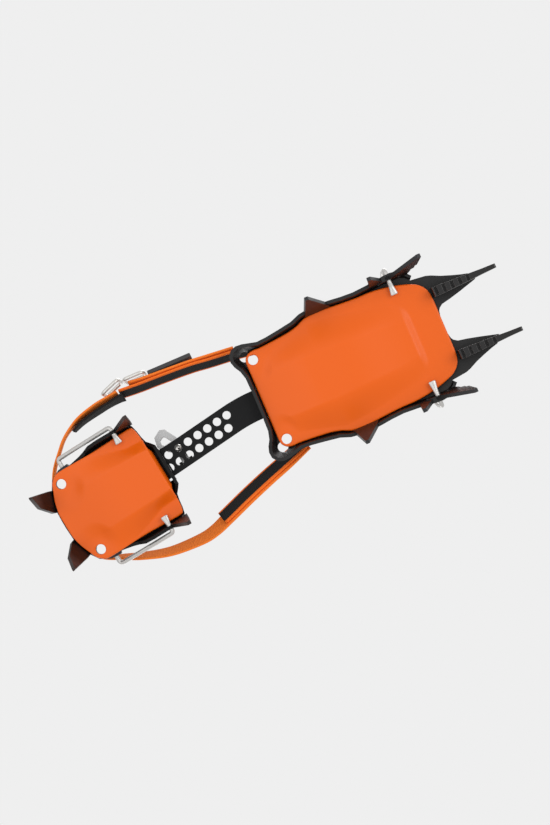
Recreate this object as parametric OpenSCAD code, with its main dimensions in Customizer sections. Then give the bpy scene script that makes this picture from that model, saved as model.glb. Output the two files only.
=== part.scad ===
/* [Pressed steel sheet] */
// Thickness of the pressed sheet
sheet_t = 2.2; // [1.8:0.1:2.6]
// Outer radius of the bend between web and wall
bend_r = 3.2; // [2.8:0.1:3.6]
// Outward lean of the walls in degrees
wall_flare = 10; // [6:1:13]
// Outward lean of the walls round the rear ears of the toe section, degrees
ear_flare = 26; // [18:1:28]
// Depth of the side walls below the sole plane
wall_depth = 13; // [12.5:0.5:15]
// Depth from the sole plane to the tips of the ground points
point_depth = 41; // [34:1:46]
// Thickness of the point blades
point_t = 2.6; // [2:0.1:3]

/* [Toe section] */
// Half width of the toe section at the ball of the foot
toe_half_w = 44.6; // [42:0.2:48]
// Half width of the toe section just ahead of its rear ears
toe_waist_half_w = 37.5; // [36:0.2:39]
// Distance from the rear plate holes to the front edge of the web
toe_len = 129.5; // [126:0.5:134]
// Half width of the window in the toe web
toe_window_half_w = 22; // [16:1:25]
// Half distance between the two front points
front_point_y = 23; // [22:0.2:24]
// Reach of the front points past the front edge of the web
front_point_reach = 45.5; // [44:0.5:52]
// Width of a front point where it leaves the web
front_point_w = 6.7; // [5:0.1:8]
// Height of a front point at its root
front_point_h = 15; // [12:0.5:17]

/* [Heel section] */
// Half width of the heel section
heel_half_w = 37.3; // [36.6:0.1:39]
// Distance from the heel plate holes to the front flange
heel_len = 67.4; // [66.4:0.2:70]
// Distance from the toe plate holes back to the heel plate holes
heel_back = 149.8; // [140:0.2:162]
// Sideways offset of the heel plate holes
heel_side = 22.8; // [22.4:0.1:23.2]
// Turn of the heel section against the toe section in degrees
heel_turn = 8.2; // [7:0.1:9.4]
// Half width of the window in the heel web
heel_window_half_w = 17; // [13:1:19]

/* [Anti-snow plates] */
// Thickness of the moulded plates
plate_t = 2; // [1.6:0.1:2.4]
// Drop from the web to the rim of the plates
plate_drop = 3.3; // [3:0.1:4]
// Depth of the raised middle of the plates below their rim
pillow_h = 6; // [3:0.5:7]
// Diameter of the fixing holes through plates and webs
plate_hole_d = 7; // [5:0.5:8]
// Half distance between the toe plate holes
toe_hole_y = 29.3; // [28:0.1:30]
// Half distance between the heel plate holes
heel_hole_y = 26; // [24:0.2:27]
// Gap kept between plate edges and steel
plate_gap = 0.3; // [0.2:0.1:0.8]

/* [Link bar] */
// Width of the link bar
bar_w = 20.4; // [18:0.2:22]
// Thickness of the link bar
bar_t = 2.4; // [2:0.1:2.6]
// Pitch of the adjusting holes
bar_pitch = 8; // [8:0.1:8.6]
// Diameter of the adjusting holes
bar_hole_d = 5.7; // [5.4:0.1:6]
// Sideways offset of each row of holes
bar_row = 4; // [3.6:0.1:4.4]
// Direction of the straight part of the bar in degrees
bar_turn = 11.1; // [10:0.1:12]
// Bend radius of the neck of the bar
bar_bend_r = 111; // [95:1:125]
// Number of holes in each row
bar_holes = 10; // [10:1:11]
// Gap between the bar and the steel it slides in
bar_gap = 0.3; // [0.2:0.05:0.4]

/* [Length lock] */
// Thickness of the lock lever
lock_t = 2; // [1.6:0.1:2.4]
// Diameter of the locking pin
lock_pin_d = 4.2; // [3.6:0.1:4.3]
// Diameter of the hinge pin of the lock lever
lock_hinge_d = 2; // [1.6:0.1:2.2]

/* [Bails] */
// Diameter of the bail wire
wire_d = 3.2; // [2.8:0.1:3.4]
// Radial clearance of the wire ends in their holes
wire_gap = 0.08; // [0.05:0.01:0.1]
// Depth of the bail axes below the sole plane
bail_axis_z = 10.5; // [10.3:0.1:11]
// Distance of the toe bail axis behind the front edge of the web
toe_bail_back = 23.5; // [22.5:0.5:25.5]
// Spacing of the spare toe bail holes
bail_hole_step = 7.7; // [7:0.1:8]
// Half width of the toe bail legs
toe_bail_half_w = 50; // [49.6:0.1:52]
// Height of the toe bail crossbar above its axis
toe_bail_h = 48; // [42:1:54]
// Distance of the heel bail axis ahead of the heel plate holes
heel_bail_x = 48.5; // [46:0.5:50]
// Half width of the heel bail arms
heel_bail_half_w = 41.8; // [41.6:0.1:44]
// Length of the heel bail arms along the sole
heel_arm = 43; // [41:0.5:45]
// Height of the heel bail crossbar above the sole plane
heel_bar_z = 5.4; // [5.2:0.1:5.6]
// Width of the flattened wire ends
tab_w = 5.2; // [4:0.1:5.4]

/* [Heel lever] */
// Length of the heel lever from its hinge
lever_len = 26; // [20:1:28]
// Width of the heel lever at its hinge
lever_w = 30; // [24:1:32]
// Half width of the heel cradle at its front
cradle_half_w = 36; // [33:0.5:37]
// Height of the heel cradle
cradle_h = 9; // [8.6:0.2:10]
// Diameter of the lever hinge pin
lever_pin_d = 3; // [2.4:0.1:3.2]
// Radial clearance of the lever on its pin
lever_gap = 0.06; // [0.03:0.01:0.1]

/* [Strap] */
// Width of the webbing
strap_w = 15; // [12:0.5:17]
// Thickness of the webbing
strap_t = 1.6; // [1.2:0.1:1.7]
// Height of the lower edge of the strap above the sole plane
strap_z = 4; // [4:0.1:6]
// Wire diameter of the buckle rings
buckle_wire_d = 2.6; // [2:0.1:2.8]
// Length of each buckle ring along the strap
buckle_len = 17; // [15:0.5:18]

/* [Hidden] */
$fn = 48;
web_bottom = -sheet_t;
rim_top = web_bottom - plate_drop;
rim_bottom = rim_top - plate_t;
bar_top = web_bottom - bar_gap;
bar_bottom = bar_top - bar_t;
wire_r = wire_d / 2;
// Small step between surfaces that are joined, so that no two lie in one plane
weld = 0.02;
steel = [0.09, 0.09, 0.1];
orange = [0.93, 0.4, 0.15];
silver = [0.78, 0.77, 0.75];
black = [0.06, 0.06, 0.06];
slate = [0.24, 0.26, 0.29];
both = [1, -1];

// Plan line of a toe wall from the bar slot round the ear to the front corner: x, y, wall depth, and the
// lean where it differs from wall_flare
slot_half_w = bar_w / 2 + 1;
slot_floor = bar_bottom - bar_gap;
widen = toe_half_w - 44.6;
waist = toe_waist_half_w - 37.5;
front_shift = toe_len - 129.5;
toe_line = [
    [-7.6, slot_half_w, wall_depth], [-7.8, 19.5, wall_depth], [-8.6, 25.5, wall_depth, ear_flare - 12],
    [-10, 30, wall_depth - 1, ear_flare - 5], [-10.6, 33.4, wall_depth - 2, ear_flare],
    [-10.4, 35.8, wall_depth - 2, ear_flare], [-9.1, 37.5 + waist / 2, wall_depth - 2, ear_flare],
    [-7, 38.2 + waist, wall_depth - 2, ear_flare], [-3, 38.2 + waist, wall_depth - 2, ear_flare - 2],
    [1.6, 37.9 + waist, wall_depth - 1, ear_flare - 9], [7, 37.6 + waist, wall_depth],
    [14, 38 + waist, wall_depth], [24, 39.4 + waist, wall_depth], [34, 41 + waist, wall_depth],
    [41, 43.6 + widen, wall_depth], [48, 44.6 + widen, wall_depth], [56, 44.7 + widen, wall_depth],
    [63, 44.2 + widen, wall_depth], [71, 43.3 + widen, wall_depth], [80, 42.8 + widen, wall_depth],
    [91, 43.5 + widen, wall_depth], [100, 44.6 + widen, wall_depth], [108, 45.2 + widen, wall_depth],
    [114, 44.6 + widen, wall_depth - 1.5], [118.5, 42.6 + widen, wall_depth - 7],
    [122, 39.5 + widen, bend_r + 0.6]
];
toe_plate_line = [
    [-5.4, 0], [-5.4, 27.5], [-4.6, 31.4], [-1.6, 34.4], [3, 35.4], [8, 35.3 + waist], [27, 36.9 + waist],
    [36, 38.8 + waist], [42, 41.3 + widen], [48, 42.4 + widen], [55, 42.6 + widen], [65, 41.6 + widen],
    [80, 40.6 + widen], [92, 40.4 + widen], [106, 38.4 + widen], [118, 34.8 + widen],
    [124, 31.5 + widen], [128 + front_shift, 26], [129.2 + front_shift, 18], [129.5 + front_shift, 0]
];

// Plan line of a heel wall from the middle of the rear to the bar slot
heel_wider = heel_half_w - 37.3;
heel_longer = heel_len - 67.4;
rear_depth = -rim_top - plate_gap;
heel_line = [
    [-12.6, 2, rear_depth], [-12.4, 7, rear_depth], [-11.4, 13, rear_depth], [-8.8, 20, rear_depth],
    [-5, 26.6, rear_depth], [0, 30.8, rear_depth], [6, 33, rear_depth], [13, 34, rear_depth],
    [20, 35.4 + heel_wider, rear_depth], [24, 36.6 + heel_wider, rear_depth],
    [29, 37.3 + heel_wider, wall_depth - 2], [36, 37.4 + heel_wider, wall_depth - 0.5],
    [45, 37.3 + heel_wider, wall_depth - 0.5], [54, 37.3 + heel_wider, wall_depth - 0.5],
    [59.2, 36.7 + heel_wider, wall_depth - 2], [61.2 + heel_longer, 34.4 + heel_wider, rear_depth],
    [62.2 + heel_longer, 30, rear_depth], [62.8 + heel_longer, 25, rear_depth],
    [63.8 + heel_longer, 20.6, rear_depth], [66 + heel_longer, 17.4, rear_depth + 3],
    [67.4 + heel_longer, 14.8, wall_depth - 1], [67.4 + heel_longer, slot_half_w, wall_depth - 1]
];
heel_plate_line = [
    [-12.6, 0], [-12.2, 9.6], [-10.2, 17.4], [-7.4, 24.4], [-4.6, 30], [0.2, 33.4], [5, 34.2],
    [12, 33.8], [26, 33.4 + heel_wider], [40, 33.8 + heel_wider], [58, 34.3 + heel_wider],
    [61.3 + heel_longer, 32.5 + heel_wider], [62.4 + heel_longer, 27.6], [62.6 + heel_longer, 22],
    [62.8 + heel_longer, 16.4], [64.6 + heel_longer, 12.6], [64.8 + heel_longer, 0]
];

function unit(v) = v / norm(v);
function turned(v) = [-v[1], v[0]];
function last(list) = len(list) - 1;
function mirrored(line) = [for (i = [last(line):-1:0]) [line[i][0], -line[i][1]]];
function mirrored_wall(line) = [for (i = [last(line):-1:0]) [line[i][0], -line[i][1], line[i][2], line[i][3]]];
// Outward direction at each station of a line that runs with the outside on its left
function outward(line) = [for (i = [0:last(line)])
    let (a = line[max(i - 1, 0)], b = line[min(i + 1, last(line))])
    turned(unit([b[0] - a[0], b[1] - a[1]]))];
function inset(line, gap) = let (n = outward(line))
    [for (i = [0:last(line)]) [line[i][0], line[i][1]] - n[i] * gap];
function arc_row(r, depth, wall, lean) = concat(
    [for (a = [0, 30, 60, 90 - lean]) [-bend_r + r * sin(a), -bend_r + r * cos(a)]],
    [[-bend_r + bend_r * cos(lean) + (depth - bend_r + bend_r * sin(lean)) * tan(lean)
        - wall / cos(lean), -depth]]);
function reversed(list) = [for (i = [last(list):-1:0]) list[i]];
// Section of a wall with its bend, as offset and height
function wall_section(depth, lean) = let (a = is_undef(lean) ? wall_flare : lean)
    concat(arc_row(bend_r, depth, 0, a), reversed(arc_row(bend_r - sheet_t, depth, sheet_t, a)));

// Pressed sheet: a flat web whose outline runs along wall line a, plain points mid and wall line b,
// clockwise as seen from above, with a bent wall along both lines
module pressed(a, mid, b) {
    m = len(wall_section(wall_depth));
    stations = concat(a, b);
    n = concat(outward(a), len(b) > 0 ? outward(b) : []);
    rings = [for (i = [0:last(stations)]) for (s = wall_section(stations[i][2], stations[i][3]))
        [stations[i][0] + n[i][0] * s[0], stations[i][1] + n[i][1] * s[0], s[1]]];
    plain = [for (p = mid) for (z = [0, web_bottom]) [p[0], p[1], z]];
    joined = [for (i = [0:last(stations) - 1]) if (i != last(a)) i];
    walls = [for (i = joined) for (j = [0:m - 2]) let (q = i * m + j)
        for (f = [[q, q + 1, q + m], [q + 1, q + 1 + m, q + m]]) f];
    starts = len(b) > 0 ? [0, len(a)] : [0];
    stops = len(b) > 0 ? [last(a), last(stations)] : [last(a)];
    ends = concat([for (i = starts) [for (j = [m - 1:-1:0]) i * m + j]],
        [for (i = stops) [for (j = [0:m - 1]) i * m + j]]);
    first_plain = len(stations) * m;
    loop = concat([for (i = [0:last(a)]) [i * m, i * m + m - 1]],
        [for (k = [0:1:last(mid)]) [first_plain + 2 * k, first_plain + 2 * k + 1]],
        [for (i = [len(a):1:last(stations)]) [i * m, i * m + m - 1]]);
    edges = [for (k = [0:last(loop)]) let (p = loop[k], q = loop[(k + 1) % len(loop)])
        if (!(p[0] + m == q[0] && q[0] < first_plain && p[0] != last(a) * m)) [q[0], p[0], p[1], q[1]]];
    polyhedron(concat(rings, plain), concat(walls, ends, edges,
        [[for (p = loop) p[0]], [for (k = [last(loop):-1:0]) loop[k][1]]]));
}

// Blade in an upright plane, leaned outward, with its outer face at y0
module blade(profile, y0, lean, t = point_t)
    translate([0, y0, 0])
        rotate([lean, 0, 0])
            rotate([90, 0, 0])
                linear_extrude(t) polygon(profile);

module rounded_slot(x0, x1, half_w, r) {
    translate([x0, -half_w + r]) square([x1 - x0, 2 * (half_w - r)]);
    translate([x0 + r, -half_w]) square([x1 - x0 - 2 * r, 2 * half_w]);
    for (x = [x0 + r, x1 - r]) for (y = [r - half_w, half_w - r])
        translate([x, y]) circle(r);
}

module upright_hole(x, y, d)
    translate([x, y, -wall_depth - pillow_h - 10]) cylinder(d = d, h = wall_depth + pillow_h + 12);

// Toe frame: web, walls, ears, ground points and the horns over the front points
horn_line = [[131, 35.8], [134.5, 34.6], [140.4, 31.8], [147, 29.4], [153.4, 27.3], [158, 26.1], [161, 23.6],
    [161.6, 20.5], [149, 17], [140.6, 14.9], [134, 13.6], [131.4, 11.8], [130.3, 10], [129.5, 6]];
toe_horns = [for (p = horn_line) p + [front_shift, 0]];
toe_bail_x = toe_len - toe_bail_back;
toe_bail_holes = [for (k = [-1:1]) toe_bail_x + k * bail_hole_step];
module toe_points() {
    blade([[43.4, -8], [62.6, -8], [61.4, -wall_depth], [49.9, -point_depth], [47.6, -point_depth],
        [44.5, -wall_depth]], 42 + widen, 15.8);
    translate([front_shift, 0, 0]) blade([[91.5, -7], [103, -7], [101.5, -wall_depth], [94, -32],
        [91.3, -32], [92.2, -wall_depth]], 43.6 + widen, 10);
    translate([front_shift, 0, 0]) blade([[98, -6], [119, -6], [121.4, -12], [122.4, -16.5],
        [124.6, -17.4], [125.4, -22], [127, -23], [130, -point_depth + 0.5], [127.6, -point_depth],
        [107.5, -15.5], [104, -wall_depth], [98, -wall_depth]], 43 + widen, 10);
}
module toe_frame() color(steel) difference() {
    union() {
        pressed(toe_line, concat(toe_horns, mirrored(toe_horns)), mirrored_wall(toe_line));
        toe_points();
        mirror([0, 1, 0]) toe_points();
        translate([0, slot_half_w + 1, 0]) rotate([90, 0, 0]) linear_extrude(2 * slot_half_w + 2)
            polygon([[-7.9, slot_floor], [-5.9, slot_floor], [-7.25, 0.1 - wall_depth],
                [-9.25, 0.1 - wall_depth]]);
    }
    translate([0, 0, web_bottom - 1]) linear_extrude(sheet_t + 2)
        rounded_slot(22, 100, toe_window_half_w, 9);
    for (s = both) {
        upright_hole(0, s * toe_hole_y, plate_hole_d);
        upright_hole(-4.5, s * 33.4, 7.2);
        for (x = toe_bail_holes) translate([x, s * 30, -bail_axis_z])
            rotate([-90 * s, 0, 0]) cylinder(r = wire_r + wire_gap, h = 30);
    }
}

// Front point: a blade that tapers in plan and drops to its tip, with teeth along its lower edge
tooth_pitch = 5.7;
teeth = 5;
point_tip_x = toe_len + front_point_reach;
point_root_x = toe_len + 1;
tip_drop = 27;
module front_point_solid(y) {
    lower = [[point_root_x, web_bottom - front_point_h], [toe_len + 8, web_bottom - front_point_h - 1],
        [toe_len + 28, -22], [point_tip_x - 1, -tip_drop - 2]];
    upper = [[point_tip_x, -tip_drop], [toe_len + 38, -14], [toe_len + 30, -7], [toe_len + 26, web_bottom],
        [point_root_x, web_bottom]];
    half = front_point_w / 2;
    difference() {
        intersection() {
            translate([0, y + front_point_w, 0]) rotate([90, 0, 0])
                linear_extrude(2 * front_point_w) polygon(concat(lower, upper));
            translate([0, y, -60]) linear_extrude(60) polygon([[point_root_x, -half], [toe_len + 5, -half],
                [toe_len + 24.5, -half + 0.9], [toe_len + 36.5, -half + 1.6], [point_tip_x, -1.5],
                [point_tip_x, 1.5], [toe_len + 36.5, half - 1.6], [toe_len + 24.5, half - 0.9],
                [toe_len + 5, half], [point_root_x, half]]);
        }
        for (k = [0:teeth - 1])
            translate([toe_len + 3 + k * tooth_pitch, y, web_bottom - front_point_h - 0.3 - k * 1.02])
                rotate([90, 0, 0]) translate([0, 0, -front_point_w])
                    linear_extrude(2 * front_point_w)
                        polygon([[-1.3, -4], [1.3, -4], [1.1, 3], [-1.1, 3]]);
        for (x = rivet_x) translate([x, y, web_bottom - rivet_len - 0.05])
            cylinder(d = rivet_d + 0.1, h = rivet_len + 1);
    }
}
rivet_d = 3.4;
rivet_len = 9;
rivet_x = [toe_len + 6, toe_len + 19];
module front_point_left() color(steel) front_point_solid(front_point_y);
module front_point_right() color(steel) front_point_solid(-front_point_y);

// Anti-snow plate: a thin rim, a hollow raised middle and bosses that seat on the web
module pillow(low, top, z0, z1) hull() {
    translate([0, 0, z0]) linear_extrude(0.02) polygon(low);
    translate([0, 0, z1]) linear_extrude(0.02) polygon(top);
}
module plate(line, low, top, holes, bosses) {
    boss_d = plate_hole_d + 4;
    difference() {
        union() {
            translate([0, 0, rim_bottom]) linear_extrude(plate_t) polygon(concat(line, mirrored(line)));
            pillow(low, top, rim_bottom, rim_bottom - pillow_h);
            for (b = bosses) translate([b[0], b[1], rim_bottom])
                cylinder(d = boss_d, h = web_bottom - rim_bottom);
        }
        translate([0, 0, plate_t]) pillow(low, top, rim_bottom + 0.01, rim_bottom - pillow_h);
        for (b = holes) upright_hole(b[0], b[1], plate_hole_d);
    }
}
function four(x0, y0, x1, y1) = [[x0, y0], [x1, y1], [x1, -y1], [x0, -y0]];
toe_pillow_low = [[9, 21], [42, 31], [88, 30], [113, 19], [113, -19], [88, -30], [42, -31], [9, -21]];
toe_pillow_top = [[17, 16], [45, 17], [88, 14.5], [104, 12.5], [104, -12.5], [88, -14.5], [45, -17],
    [17, -16]];
module toe_plate() color(orange) plate(toe_plate_line, toe_pillow_low, toe_pillow_top,
    [for (s = both) [0, s * toe_hole_y]],
    [for (s = both) for (b = [[0, toe_hole_y], [113.5, 28.2]]) [b[0], s * b[1]]]);

// Link bar: a straight perforated blade, a curved neck and a T end behind the toe flange
neck_x = -8.5;
neck_end = [neck_x - bar_bend_r * sin(bar_turn), bar_bend_r * (1 - cos(bar_turn))];
bar_dir = [-cos(bar_turn), sin(bar_turn)];
bar_left = [sin(bar_turn), cos(bar_turn)];
first_hole = 0.8;
bar_len = first_hole + bar_holes * bar_pitch + 4;
neck_steps = 8;
function neck(r, a) = [neck_x - r * sin(a), bar_bend_r - r * cos(a)];
module link_bar() color(black) translate([0, 0, bar_bottom]) linear_extrude(bar_t) difference() {
    polygon(concat(
        [[-4, bar_w / 2 + 3], [-4, bar_w / 2], [neck_x, bar_w / 2]],
        [for (k = [1:neck_steps]) neck(bar_bend_r - bar_w / 2, bar_turn * k / neck_steps)],
        [neck_end + bar_dir * (bar_len - 1) + bar_left * bar_w / 2,
         neck_end + bar_dir * (bar_len + 2) + bar_left * (bar_w / 2 - 4),
         neck_end + bar_dir * (bar_len + 2) - bar_left * (bar_w / 2 - 4),
         neck_end + bar_dir * (bar_len - 1) - bar_left * bar_w / 2],
        [for (k = [neck_steps:-1:1]) neck(bar_bend_r + bar_w / 2, bar_turn * k / neck_steps)],
        [[neck_x, -bar_w / 2], [-4, -bar_w / 2], [-4, -bar_w / 2 - 3], [3, -bar_w / 2 - 3],
         [3, bar_w / 2 + 3]]));
    for (k = [0:bar_holes - 1]) {
        p = neck_end + bar_dir * (first_hole + k * bar_pitch);
        translate(p - bar_left * bar_row) circle(d = bar_hole_d);
        translate(p + bar_dir * bar_pitch / 2 + bar_left * bar_row) circle(d = bar_hole_d);
    }
}

// Heel section in its own frame, placed behind the toe section
module at_heel() translate([-heel_back, heel_side, 0]) rotate([0, 0, -heel_turn]) children();
// Turn of the bar as seen in the heel frame
bar_in_heel = bar_turn - heel_turn;
// Bar hole under the locking pin, in the heel frame
lock_hole = 5;
lock_point = let (p = neck_end + bar_dir * (first_hole + lock_hole * bar_pitch) - bar_left * bar_row
        + [heel_back, -heel_side])
    [p[0] * cos(heel_turn) - p[1] * sin(heel_turn), p[0] * sin(heel_turn) + p[1] * cos(heel_turn)];
// Hole k of the other row in the heel frame
function lower_hole(k) = lock_point + 2 * bar_row * [sin(bar_in_heel), cos(bar_in_heel)]
    + (lock_hole - k - 0.5) * bar_pitch * [cos(bar_in_heel), -sin(bar_in_heel)];
lock_axis_v = lock_point[1] + 11;
lock_axis_z = 3.2;
module heel_points() {
    blade([[47, -5], [62.6, -5], [63, -wall_depth + 1], [64, -point_depth], [61.6, -point_depth],
        [49.6, -wall_depth + 1]], 37.5 + heel_wider, 6.8);
    translate([-11, 18.3, 0]) rotate([0, 0, 70.7])
        blade([[-7.6, -0.4], [7.6, -0.4], [7.8, -8], [6.9, -point_depth], [5.8, -point_depth],
            [-2, -point_depth + 10.5], [-7.6, -8]], 0.25, 16.6);
}
tongue_end = lock_point[0] + 5;
lug_t = 2;
lug_gap = 0.2;
// Sideways travel of the pin as the lever lifts
pin_swing = 1.6;
// Width of the window in the tongue, which leaves the bar's holes open
tongue_window = 2 * bar_row + bar_hole_d + 0.5;
module heel_frame() color(steel) at_heel() difference() {
    union() {
        pressed(concat(mirrored_wall(heel_line), heel_line), [], []);
        heel_points();
        mirror([0, 1, 0]) heel_points();
        translate([heel_len - 0.6, -slot_half_w - 1, -wall_depth + 1])
            cube([sheet_t, 2 * slot_half_w + 2, wall_depth - 1 + bar_bottom - bar_gap]);
        translate([heel_len - 8, lock_point[1] - 6, web_bottom])
            cube([tongue_end - heel_len + 8, lock_axis_v - lock_point[1] + 8.5, sheet_t]);
        for (u = [-hub_len / 2 - lug_t - lug_gap, hub_len / 2 + lug_gap])
            translate([lock_point[0] + u, lock_axis_v - 2, -1]) cube([lug_t, 4, lock_axis_z + 3]);
    }
    translate([0, 0, web_bottom - 1]) linear_extrude(sheet_t + 2) rounded_slot(10, 50, heel_window_half_w, 8);
    for (s = both) {
        upright_hole(0, s * heel_hole_y, plate_hole_d);
        translate([heel_bail_x, s * 26, -bail_axis_z])
            rotate([-90 * s, 0, 0]) cylinder(r = wire_r + wire_gap, h = 30);
    }
    translate([heel_len + 2.4, lock_point[1] + bar_row - tongue_window / 2, web_bottom - 1])
        cube([lock_point[0] - 4.6 - heel_len - 2.4, tongue_window, sheet_t + 2]);
    for (k = [lock_hole - 1, lock_hole]) translate(lower_hole(k)) translate([0, 0, web_bottom - 1])
        cylinder(d = bar_hole_d + 0.4, h = sheet_t + 1 + weld);
    translate([lock_point[0], lock_point[1], web_bottom - 1]) for (v = [0, -pin_swing])
        translate([0, v, 0]) cylinder(d = lock_pin_d + 1, h = sheet_t + 2);
    translate([lock_point[0] - lock_pin_d / 2 - 0.5, lock_point[1] - pin_swing, web_bottom - 1])
        cube([lock_pin_d + 1, pin_swing, sheet_t + 2]);
    translate([lock_point[0] - 10, lock_axis_v, lock_axis_z]) rotate([0, 90, 0])
        cylinder(d = lock_hinge_d, h = 20);
}
heel_pillow_low = [[4, 19], [22, 25], [50, 25], [64, 20], [64, -20], [50, -25], [22, -25], [4, -19]];
heel_pillow_top = [[10, 16], [24, 17], [50, 16], [60.4, 15], [60.4, -15], [50, -16], [24, -17], [10, -16]];
module heel_plate() color(orange) at_heel() plate(heel_plate_line, heel_pillow_low, heel_pillow_top,
    [for (s = both) [0, s * heel_hole_y]],
    [for (s = both) for (b = [[12.5, 24], [51.5, 26.4]]) [b[0], s * b[1]]]);

// Length lock: a flat stirrup on a hinge, with a pin that drops into a hole of the bar
lock_rise = 15;
module at_lock() at_heel() translate([lock_point[0], lock_axis_v, lock_axis_z]) children();
lock_hub_d = lock_hinge_d + 2.4;
hub_len = 5.6;
lock_arm = lock_axis_v - lock_point[1];
module lock_lever() color(silver) at_lock() rotate([-lock_rise, 0, 0]) difference() {
    union() {
        rotate([0, 90, 0]) translate([0, 0, -hub_len / 2]) cylinder(d = lock_hub_d, h = hub_len);
        translate([-hub_len / 2, -lock_arm - 3, -lock_hub_d / 2]) cube([hub_len, lock_arm + 3, lock_t]);
        translate([0, -lock_arm, -lock_hub_d / 2]) linear_extrude(lock_t) difference() {
            polygon([[2.8, 3], [2.8, -5], [2, -8], [-2, -16.6], [-5.4, -18], [-11, -15], [-12.5, -8],
                [-10, -4], [-2.8, 3]]);
            polygon([[-2, -6.6], [-4.4, -11.6], [-6, -12.4], [-8.6, -11], [-9, -8], [-7.6, -6.4]]);
        }
    }
    rotate([0, 90, 0]) translate([0, 0, -20]) cylinder(r = lock_hinge_d / 2 + 0.06, h = 40);
    translate([0, -lock_arm, -6]) cylinder(d = lock_pin_d, h = 12);
}
lock_pin_len = 7.6;
pin_cone = 2.6;
module lock_pin() color(silver) at_lock() rotate([-lock_rise, 0, 0])
    translate([0, -lock_arm, -lock_hub_d / 2 + lock_t - lock_pin_len]) {
        cylinder(d1 = lock_pin_d - 1.4, d2 = lock_pin_d, h = pin_cone);
        translate([0, 0, pin_cone]) cylinder(d = lock_pin_d, h = lock_pin_len - pin_cone);
    }
module lock_hinge_pin() color(silver) at_lock() rotate([0, 90, 0])
    translate([0, 0, -5.4]) cylinder(d = lock_hinge_d, h = 11.2);

// Points of a wire route with each corner rounded over the given reach
corner_steps = 4;
function rounded_route(p, reach) = [for (i = [0:last(p)])
    if (i == 0 || i == last(p)) p[i]
    else let (a = p[i] + unit(p[i - 1] - p[i]) * reach, b = p[i] + unit(p[i + 1] - p[i]) * reach)
        for (k = [0:corner_steps]) let (w = k / corner_steps)
            (1 - w) * (1 - w) * a + 2 * w * (1 - w) * p[i] + w * w * b];
// Round wire along a route that lies near one plane, whose normal is given
wire_sides = 12;
module wire(route, reach, normal, d = wire_d - 2 * weld) {
    p = rounded_route(route, reach);
    points = [for (i = [0:last(p)])
        let (t = unit(p[min(i + 1, last(p))] - p[max(i - 1, 0)]), b = unit(cross(t, normal)), c = cross(b, t))
        for (k = [0:wire_sides - 1]) let (a = 360 * k / wire_sides) p[i] + d / 2 * (cos(a) * b + sin(a) * c)];
    sides = [for (i = [0:last(p) - 1]) for (j = [0:wire_sides - 1])
        let (a = i * wire_sides + j, b = i * wire_sides + (j + 1) % wire_sides)
        for (f = [[a, b, a + wire_sides], [b, b + wire_sides, a + wire_sides]]) f];
    ends = [[for (j = [wire_sides - 1:-1:0]) j], [for (j = [0:wire_sides - 1]) last(p) * wire_sides + j]];
    polyhedron(points, concat(sides, ends));
}
// Flattened end of a wire along Y, from y0 in to y1
module tab(y0, y1) translate([0, 0, -wire_r / 2]) linear_extrude(wire_r)
    polygon([[-wire_r * 0.8, y0], [-tab_w / 2, y1 + 1], [-tab_w / 2 + 1, y1], [tab_w / 2 - 1, y1],
        [tab_w / 2, y1 + 1], [wire_r * 0.8, y0]]);
// Pivots of a bail: true round stubs along Y with flattened inner ends
module bail_pivots(tab_in, tab_out, half_w) for (s = both) mirror([0, s < 0 ? 1 : 0, 0]) {
    tab(tab_out, tab_in);
    translate([0, tab_out - 1, 0]) rotate([-90, 0, 0]) cylinder(d = wire_d, h = half_w - tab_out - 3);
}
function two_sided(half) = concat(half, [for (i = [last(half):-1:0]) [half[i][0], -half[i][1], half[i][2]]]);
toe_tab_in = 32;
toe_tab_out = 38.5 + widen;
module toe_bail() color(silver) translate([toe_bail_x, 0, -bail_axis_z]) {
    bail_pivots(toe_tab_in, toe_tab_out, toe_bail_half_w);
    wire(two_sided([[0, toe_bail_half_w - 5, 0], [0, toe_bail_half_w, 0], [0, toe_bail_half_w, 24],
        [-4, toe_bail_half_w - 14, toe_bail_h - 3], [2, 10, toe_bail_h]]), 3, [1, 0, 0]);
}

// Heel bail: two side arms that lie back beside the walls and a crossbar through the cradle
bar_u = heel_bail_x - heel_arm;
heel_rise = heel_bar_z + bail_axis_z;
heel_tab_in = 29;
heel_tab_out = 34;
module heel_bail() color(silver) at_heel() translate([heel_bail_x, 0, -bail_axis_z]) {
    bail_pivots(heel_tab_in, heel_tab_out, heel_bail_half_w);
    wire(two_sided([[0, heel_bail_half_w - 5, 0], [0, heel_bail_half_w, 0],
        [-heel_arm, heel_bail_half_w, heel_rise], [-heel_arm, cradle_half_w - 2, heel_rise]]),
        2.5, unit([heel_rise, 0, heel_arm]));
}
// Heel cradle: moulded on the crossbar, hollowed for the boot heel, with a fork for the lever
cradle_z0 = heel_bar_z - cradle_h / 2;
fork_u = 12;
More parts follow.
